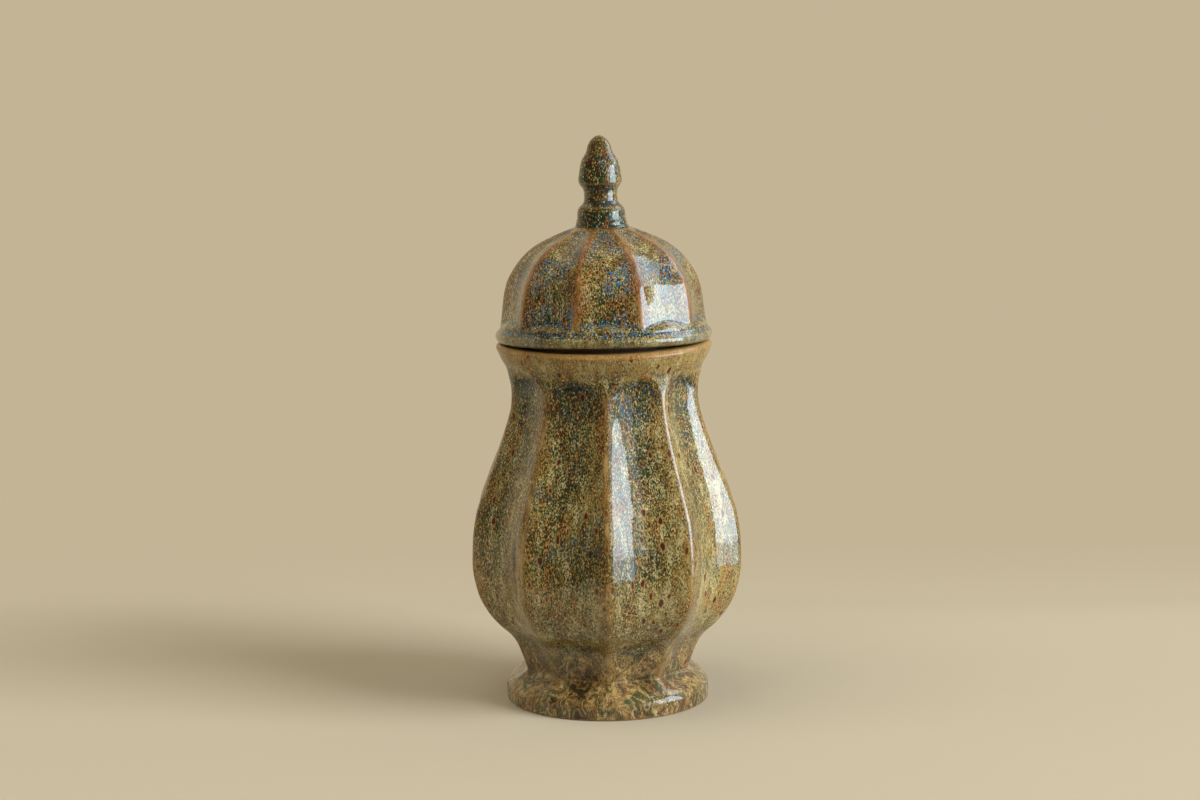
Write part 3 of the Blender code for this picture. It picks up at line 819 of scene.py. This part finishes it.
def underClearCoat(tree, look, maps, colour):
    # crystals under a coat that only the swelling bends, thinner by the rim and missing on bare clay
    swell = addNode(tree, "Bump", named={
        "Height": addNode(tree, "grain", maps["place"], *look["swellNoise"]), "Strength": 1.0,
        "Distance": look["swellDepth"] * millimetre})
    bumps = addNode(tree, "Bump", named={
        "Height": maps["fine"], "Strength": 1.0, "Distance": look["crystalDepth"] * millimetre,
        "Normal": swell})
    clear = addNode(tree, "band", maps["hue"], *look["coatBand"], look["coatLeast"], 1.0)
    clear = addNode(tree, "product", clear, addNode(tree, "difference", 1.0, maps["bare"]))
    start = look["dryStart"]
    dry = addNode(tree, "band", maps["height"], start, start + look["dryFade"], 1.0, look["rimClear"])
    return addNode(tree, "BsdfPrincipled", named={
        "Base Color": colour, "Roughness": look["haze"], "IOR": look["ior"], "Normal": bumps,
        "Coat Weight": addNode(tree, "product", clear, dry), "Coat Roughness": look["coatGloss"],
        "Coat IOR": look["coatIor"], "Coat Normal": swell})


def glazeOnStoneware(kind):
    # the layers of one piece's glaze, from the crystals up
    look = {**glazeShared, **glazes[kind]}
    material, tree = newMaterial(look["name"])
    maps = glazeMaps(tree, look)
    colour = crystals(tree, look, maps)
    for layer in (cobaltFlecks, paleSpecks, ironSpots, *([marbling] if look["marbled"] else []), wornEdges):
        colour = layer(tree, look, maps, colour)
    addNode(tree, "OutputMaterial", underClearCoat(tree, look, maps, colour))
    return material


clayLook = {
    # both tones are far darker than the bare seat's clay: painted shade, so that the flange in the gap under
    # the lid looks dark
    "toneNoise": (perMetre(14.0), 4.0, 0.6), "shadedClayTones": ((0.35, "#57422b"), (0.65, "#7f6547")),
    "grog": "#5d4630", "grogNoise": (perMetre(1.6), 2.0, 0.7), "grogBand": (0.60, 0.68), "grogShare": 0.6,
    "roughness": 0.86, "bump": 0.06,
}


def bareStoneware():
    # unglazed fired stoneware: sandy, toasted in patches, with dark grog, and dark all over as painted shade
    # for the gap under the lid; it is matt to the eye
    look = clayLook
    material, tree = newMaterial("bareFiredStoneware")
    place = addNode(tree, "TexCoord").outputs["Object"]
    tone = addNode(tree, "grain", place, *look["toneNoise"])
    sand = addNode(tree, "grain", place, *look["grogNoise"])
    colour = addNode(tree, "ramp", tone, stops=look["shadedClayTones"])
    grog = addNode(tree, "band", sand, *look["grogBand"], 0.0, look["grogShare"])
    colour = addNode(tree, "blend", grog, colour, look["grog"])
    bump = addNode(tree, "Bump", named={
        "Height": sand, "Strength": 1.0, "Distance": look["bump"] * millimetre})
    shader = addNode(tree, "BsdfPrincipled", named={
        "Base Color": colour, "Roughness": look["roughness"], "Normal": bump})
    addNode(tree, "OutputMaterial", shader)
    return material


# Stage, lamps and camera

studio = {
    "floor": "#b1ab9c", "backdrop": "#c3b496", "room": "#7f7665", "dim": "#454442",
    "floorReach": 4.0, "floorFade": (0.7, 2.0), "backFade": (0.18, 0.36),
    "mirrorRight": 0.43, "mirrorFront": -0.26,  # how far the floor goes in polished surfaces
    "sweepStart": 0.27, "sweepRound": 0.10, "sweepFade": 0.03, "sweepHeight": 2.2, "sweepWidth": 6.0,
    "sweepLift": 0.1 * millimetre, "sweepSteps": 33,
    "aim": (0.0, 0.0, 0.19),  # the middle of the jar, which every lamp faces
    "paneColour": (0.71, 0.87, 1.0),  # daylight
}
softLamps = {
    # these light matt surfaces only: bearing, height angle, distance, width, height, watts, colour
    "keySoftbox": (66.0, 26.5, 5.0, 3.0, 2.4, 388.0, (1.0, 0.98, 0.93)),
    "overhead": (-60.0, 66.0, 3.0, 2.5, 2.5, 45.0, (1.0, 0.90, 0.72)),
    "leftBounce": (-88.0, 10.0, 1.5, 0.7, 0.7, 3.7, (1.0, 0.90, 0.70)),
}
brightPanes = {
    # these show in polished surfaces only: bearing, height angle, distance, width, height, watts
    "windowPane": (73.0, 9.5, 1.2, 0.74, 0.75, 17.0),
    "lowerPane": (73.0, -9.7, 1.2, 0.74, 0.09, 1.6),
    "lowestPane": (73.0, -14.6, 1.2, 0.74, 0.11, 1.0),
    "sidePane": (46.0, 10.0, 1.2, 0.30, 0.75, 1.1),
    "upperPane": (108.0, 40.0, 0.75, 0.44, 0.39, 1.6),
}
view = {
    "place": (-0.00366, -1.587, 0.43738), "pitch": 81.6 * degree, "roll": -0.5 * degree,
    "lens": 71.67, "sensor": 36.0,  # mm
}


def stageMaterial(name):
    # a material and its tree, then what floor and sweep mix: rays, place, how much the stage has faded
    # into the backdrop's colour for the camera, far off and behind the jar, and three shaders
    material, tree = newMaterial(name)
    rays = addNode(tree, "LightPath").outputs
    origin = addNode(tree, "TexCoord").outputs["Object"]
    place = addNode(tree, "SeparateXYZ", origin).outputs
    far = addNode(tree, "band", addNode(tree, "VectorMath", origin, operation="LENGTH"), *studio["floorFade"])
    back = addNode(tree, "band", place["Y"], *studio["backFade"])
    faded = addNode(tree, "product", addNode(tree, "larger", far, back), rays["Is Camera Ray"])
    matt = addNode(tree, "BsdfDiffuse", studio["floor"])
    plain = addNode(tree, "Emission", studio["backdrop"], 1.0)
    clear = addNode(tree, "BsdfTransparent")
    return material, tree, rays, place, faded, matt, plain, clear


def addStage(name, points, faces, material):
    # a mesh that belongs to the stage and not to the jar
    mesh = bpy.data.meshes.new(name)
    mesh.from_pydata(points, [], faces)
    mesh.shade_smooth()
    mesh.materials.append(material)
    thing = bpy.data.objects.new(name, mesh)
    bpy.context.scene.collection.objects.link(thing)


def makeFloor():
    # matt and pale, fading into the backdrop's colour for the camera; a polished surface sees it only as
    # far as mirrorRight and mirrorFront
    material, tree, rays, place, faded, matt, plain, clear = stageMaterial("mattPaleFloor")
    pastRight = addNode(tree, "isOver", place["X"], studio["mirrorRight"])
    pastFront = addNode(tree, "isUnder", place["Y"], studio["mirrorFront"])
    past = addNode(tree, "product", addNode(tree, "larger", pastRight, pastFront), rays["Is Glossy Ray"])
    surface = addNode(tree, "MixShader", past, matt, clear)
    addNode(tree, "OutputMaterial", addNode(tree, "MixShader", faded, surface, plain))
    reach = studio["floorReach"]
    corners = [(-reach, -reach, 0.0), (reach, -reach, 0.0), (reach, reach, 0.0), (-reach, reach, 0.0)]
    addStage("floor", corners, [(0, 1, 2, 3)], material)


def makeBackdrop():
    # a sweep that rises behind the jar in a quarter round, y = s + r sin t and z = r (1 - cos t), and then
    # straight up; it shows its plain colour, and is clear from its back
    material, tree, rays, place, faded, matt, plain, clear = stageMaterial("mattPaleBackdrop")
    mirrored = addNode(tree, "larger", rays["Is Glossy Ray"], rays["Is Transmission Ray"])
    seen = addNode(tree, "larger", rays["Is Camera Ray"], mirrored)
    seen = addNode(tree, "product", seen, addNode(tree, "band", place["Z"], 0.0, studio["sweepFade"]))
    surface = addNode(tree, "MixShader", addNode(tree, "larger", seen, faded), matt, plain)
    fromBehind = addNode(tree, "NewGeometry").outputs["Backfacing"]
    addNode(tree, "OutputMaterial", addNode(tree, "MixShader", fromBehind, surface, clear))
    turn = np.linspace(0.0, np.pi / 2.0, studio["sweepSteps"])
    size, half = studio["sweepRound"], studio["sweepWidth"] / 2.0
    y = np.append(studio["sweepStart"] + size * np.sin(turn), studio["sweepStart"] + size)
    z = np.append(studio["sweepLift"] + size * (1.0 - np.cos(turn)), studio["sweepHeight"])
    sides = [np.stack([np.full_like(y, x), y, z], axis=1) for x in (-half, half)]
    count = len(y)
    faces = [(i, i + count, i + count + 1, i + 1) for i in range(count - 1)]
    addStage("backdrop", np.concatenate(sides).tolist(), faces, material)


def makeWorld():
    # an even room light, a dim room in polished surfaces, and a plain backdrop colour for the camera
    world = bpy.data.worlds.new("studio")
    bpy.context.scene.world = world
    world.use_nodes = True
    tree = world.node_tree
    tree.nodes.clear()
    rays = addNode(tree, "LightPath").outputs
    colour = addNode(tree, "blend", rays["Is Glossy Ray"], studio["room"], studio["dim"])
    colour = addNode(tree, "blend", rays["Is Camera Ray"], colour, studio["backdrop"])
    addNode(tree, "OutputWorld", addNode(tree, "Background", colour, 1.0))


def addLamp(name, bearing, rise, distance, width, height, watts, colour, glossy):
    # a panel at aim + distance (sin b cos r, -cos b cos r, sin r), which faces the aim and is seen either
    # by glossy rays or by diffuse ones
    light = bpy.data.lights.new(name, "AREA")
    light.shape, light.size, light.size_y = "RECTANGLE", width, height
    light.energy, light.color = watts, colour
    lamp = bpy.data.objects.new(name, light)
    b, r = bearing * degree, rise * degree
    back = Vector((np.sin(b) * np.cos(r), -np.cos(b) * np.cos(r), np.sin(r)))
    turn = back.to_track_quat("Z", "Y").to_matrix().to_4x4()
    lamp.matrix_world = Matrix.Translation(Vector(studio["aim"]) + back * distance) @ turn
    lamp.visible_camera, lamp.visible_diffuse, lamp.visible_glossy = False, not glossy, glossy
    bpy.context.scene.collection.objects.link(lamp)


def makeCamera():
    # before the middle of the front, looking slightly down
    data = bpy.data.cameras.new("camera")
    data.lens, data.sensor_width = view["lens"], view["sensor"]
    camera = bpy.data.objects.new("camera", data)
    turn = Matrix.Rotation(view["pitch"], 4, "X") @ Matrix.Rotation(view["roll"], 4, "Z")
    camera.matrix_world = Matrix.Translation(view["place"]) @ turn
    bpy.context.scene.collection.objects.link(camera)
    bpy.context.scene.camera = camera


makeJar(glazeOnStoneware("jar"), glazeOnStoneware("foot"))
makeLid(glazeOnStoneware("lid"), glazeOnStoneware("finial"), bareStoneware())
print("pieces made")

makeFloor()
makeBackdrop()
makeWorld()
for lampName, settings in softLamps.items():
    addLamp(lampName, *settings, glossy=False)
for lampName, settings in brightPanes.items():
    addLamp(lampName, *settings, studio["paneColour"], glossy=True)
makeCamera()
bpy.context.scene.view_settings.view_transform = "Standard"
print("stage, lamps and camera set")
